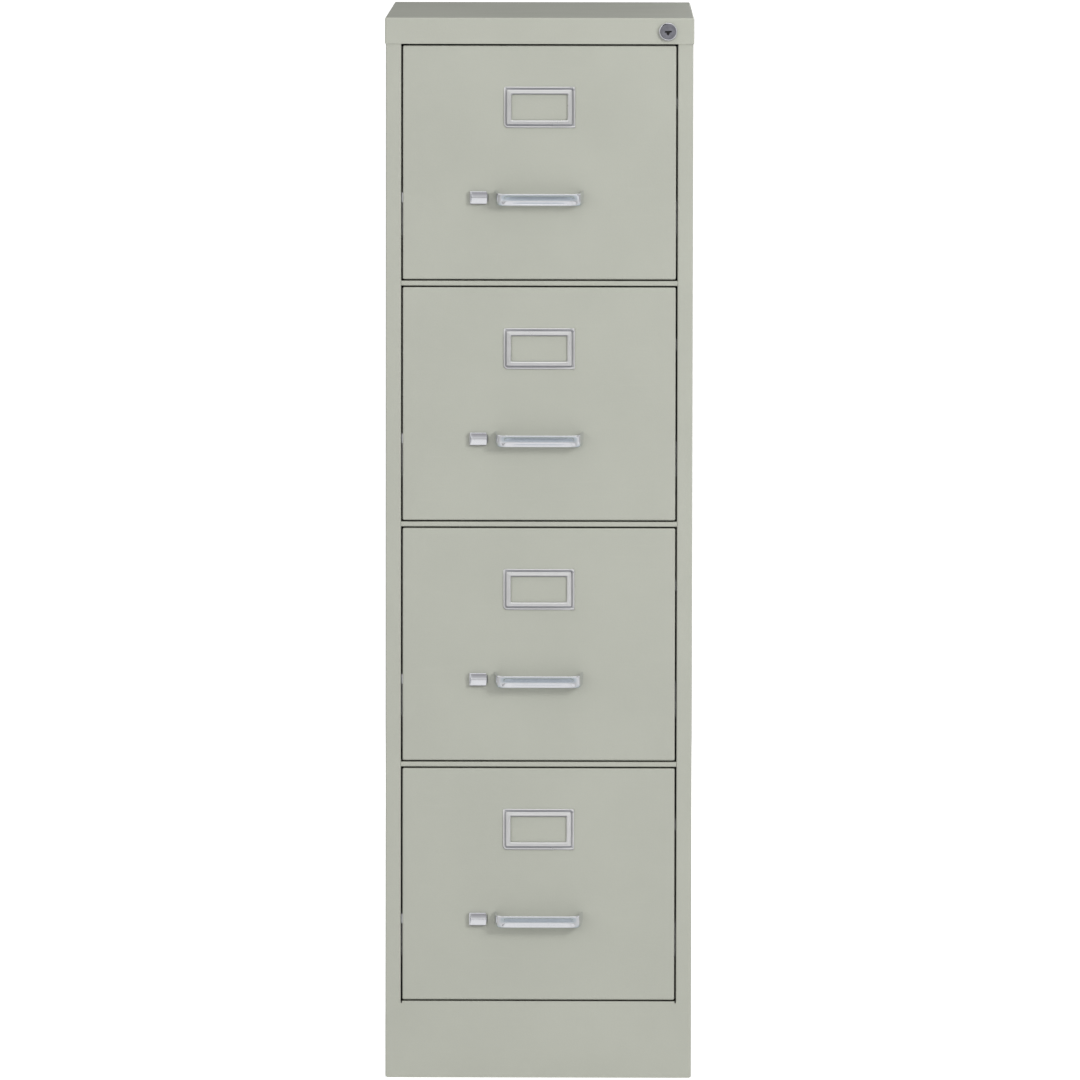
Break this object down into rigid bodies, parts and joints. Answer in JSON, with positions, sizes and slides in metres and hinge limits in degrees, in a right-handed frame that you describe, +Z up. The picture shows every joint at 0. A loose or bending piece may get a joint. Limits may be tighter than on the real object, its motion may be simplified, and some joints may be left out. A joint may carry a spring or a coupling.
{
  "type": "vertical file cabinet",
  "caption": "Steel vertical file cabinet with inset drawers on telescoping slides, bow pulls, thumb latches, label holders and a corner lock.",
  "frame": {"origin": "under the middle of the cabinet, on the surface it stands on", "axes": "+X to the right of someone facing the drawers, -Y out of the drawer fronts, +Z up"},
  "size_m": [0.3832, 0.6954, 1.3208],
  "materials": {
    "body_paint": "light grey powder coat, fine texture, semi-matt",
    "drawer_paint": "light grey powder coat, fine texture, semi-matt",
    "handle_chrome": "bright plated die casting",
    "label_chrome": "bright plated pressed steel",
    "lock_chrome": "bright plated collar",
    "lock_face": "satin plated plug",
    "zinc_steel": "bright zinc plate"
  },
  "bodies": {
    "case": {"side_panel_left": "body_paint", "side_panel_right": "body_paint", "back_panel": "body_paint", "top_cap": "body_paint", "base_panel": "body_paint", "bottom_pan": "body_paint", "cross_rails": "body_paint", "slide_uprights": "zinc_steel", "slide_case_members": "zinc_steel", "latch_strikes": "zinc_steel", "lock_guides": "zinc_steel", "lock_barrel": "lock_chrome", "lock_nut": "zinc_steel"},
    "lock_plug": {"lock_plug": "lock_face", "lock_cam": "zinc_steel"},
    "lock_bar": {"lock_bar": "zinc_steel"},
    "drawer_1": {"drawer_1_front": "drawer_paint", "drawer_1_liner": "drawer_paint", "drawer_1_tub": "drawer_paint", "drawer_1_back": "drawer_paint", "drawer_1_pull": "handle_chrome", "drawer_1_pull_screws": "zinc_steel", "drawer_1_label_holder": "label_chrome", "drawer_1_inner_rails": "zinc_steel"},
    "drawer_1_slides": {"drawer_1_mid_rails": "zinc_steel"},
    "drawer_1_latch": {"drawer_1_latch_button": "handle_chrome", "drawer_1_latch_slide": "zinc_steel"},
    "drawer_2": {"drawer_2_front": "drawer_paint", "drawer_2_liner": "drawer_paint", "drawer_2_tub": "drawer_paint", "drawer_2_back": "drawer_paint", "drawer_2_pull": "handle_chrome", "drawer_2_pull_screws": "zinc_steel", "drawer_2_label_holder": "label_chrome", "drawer_2_inner_rails": "zinc_steel"},
    "drawer_2_slides": {"drawer_2_mid_rails": "zinc_steel"},
    "drawer_2_latch": {"drawer_2_latch_button": "handle_chrome", "drawer_2_latch_slide": "zinc_steel"},
    "drawer_3": {"drawer_3_front": "drawer_paint", "drawer_3_liner": "drawer_paint", "drawer_3_tub": "drawer_paint", "drawer_3_back": "drawer_paint", "drawer_3_pull": "handle_chrome", "drawer_3_pull_screws": "zinc_steel", "drawer_3_label_holder": "label_chrome", "drawer_3_inner_rails": "zinc_steel"},
    "drawer_3_slides": {"drawer_3_mid_rails": "zinc_steel"},
    "drawer_3_latch": {"drawer_3_latch_button": "handle_chrome", "drawer_3_latch_slide": "zinc_steel"},
    "drawer_4": {"drawer_4_front": "drawer_paint", "drawer_4_liner": "drawer_paint", "drawer_4_tub": "drawer_paint", "drawer_4_back": "drawer_paint", "drawer_4_pull": "handle_chrome", "drawer_4_pull_screws": "zinc_steel", "drawer_4_label_holder": "label_chrome", "drawer_4_inner_rails": "zinc_steel"},
    "drawer_4_slides": {"drawer_4_mid_rails": "zinc_steel"},
    "drawer_4_latch": {"drawer_4_latch_button": "handle_chrome", "drawer_4_latch_slide": "zinc_steel"}
  },
  "joints": [
    {"name": "drawer_1_open", "type": "slide", "parent": "case", "child": "drawer_1", "axis": [0, -1, 0], "range_m": [0, 0.6]},
    {"name": "drawer_1_slides_extend", "type": "slide", "parent": "case", "child": "drawer_1_slides", "axis": [0, -1, 0], "range_m": [0, 0.3]},
    {"name": "drawer_1_latch_slide", "type": "slide", "parent": "drawer_1", "child": "drawer_1_latch", "axis": [1, 0, 0], "range_m": [0, 0.008], "stiffness_N_per_m": 300, "springref_m": -0.004},
    {"name": "drawer_2_open", "type": "slide", "parent": "case", "child": "drawer_2", "axis": [0, -1, 0], "range_m": [0, 0.6]},
    {"name": "drawer_2_slides_extend", "type": "slide", "parent": "case", "child": "drawer_2_slides", "axis": [0, -1, 0], "range_m": [0, 0.3]},
    {"name": "drawer_2_latch_slide", "type": "slide", "parent": "drawer_2", "child": "drawer_2_latch", "axis": [1, 0, 0], "range_m": [0, 0.008], "stiffness_N_per_m": 300, "springref_m": -0.004},
    {"name": "drawer_3_open", "type": "slide", "parent": "case", "child": "drawer_3", "axis": [0, -1, 0], "range_m": [0, 0.6]},
    {"name": "drawer_3_slides_extend", "type": "slide", "parent": "case", "child": "drawer_3_slides", "axis": [0, -1, 0], "range_m": [0, 0.3]},
    {"name": "drawer_3_latch_slide", "type": "slide", "parent": "drawer_3", "child": "drawer_3_latch", "axis": [1, 0, 0], "range_m": [0, 0.008], "stiffness_N_per_m": 300, "springref_m": -0.004},
    {"name": "drawer_4_open", "type": "slide", "parent": "case", "child": "drawer_4", "axis": [0, -1, 0], "range_m": [0, 0.6]},
    {"name": "drawer_4_slides_extend", "type": "slide", "parent": "case", "child": "drawer_4_slides", "axis": [0, -1, 0], "range_m": [0, 0.3]},
    {"name": "drawer_4_latch_slide", "type": "slide", "parent": "drawer_4", "child": "drawer_4_latch", "axis": [1, 0, 0], "range_m": [0, 0.008], "stiffness_N_per_m": 300, "springref_m": -0.004},
    {"name": "lock_turn", "type": "hinge", "parent": "case", "child": "lock_plug", "pos_m": [0.159, -0.3254, 1.3038], "axis": [0, -1, 0], "range_deg": [0, 90]},
    {"name": "lock_bar_lift", "type": "slide", "parent": "case", "child": "lock_bar", "axis": [0, 0, 1], "range_m": [0, 0.0113]}
  ],
  "couplings": [
    {"joint": "drawer_1_slides_extend", "follows": "drawer_1_open", "ratio": 0.5},
    {"joint": "drawer_2_slides_extend", "follows": "drawer_2_open", "ratio": 0.5},
    {"joint": "drawer_3_slides_extend", "follows": "drawer_3_open", "ratio": 0.5},
    {"joint": "drawer_4_slides_extend", "follows": "drawer_4_open", "ratio": 0.5},
    {"joint": "lock_turn", "follows": "lock_bar_lift", "rad_per_m": 138.84}
  ]
}
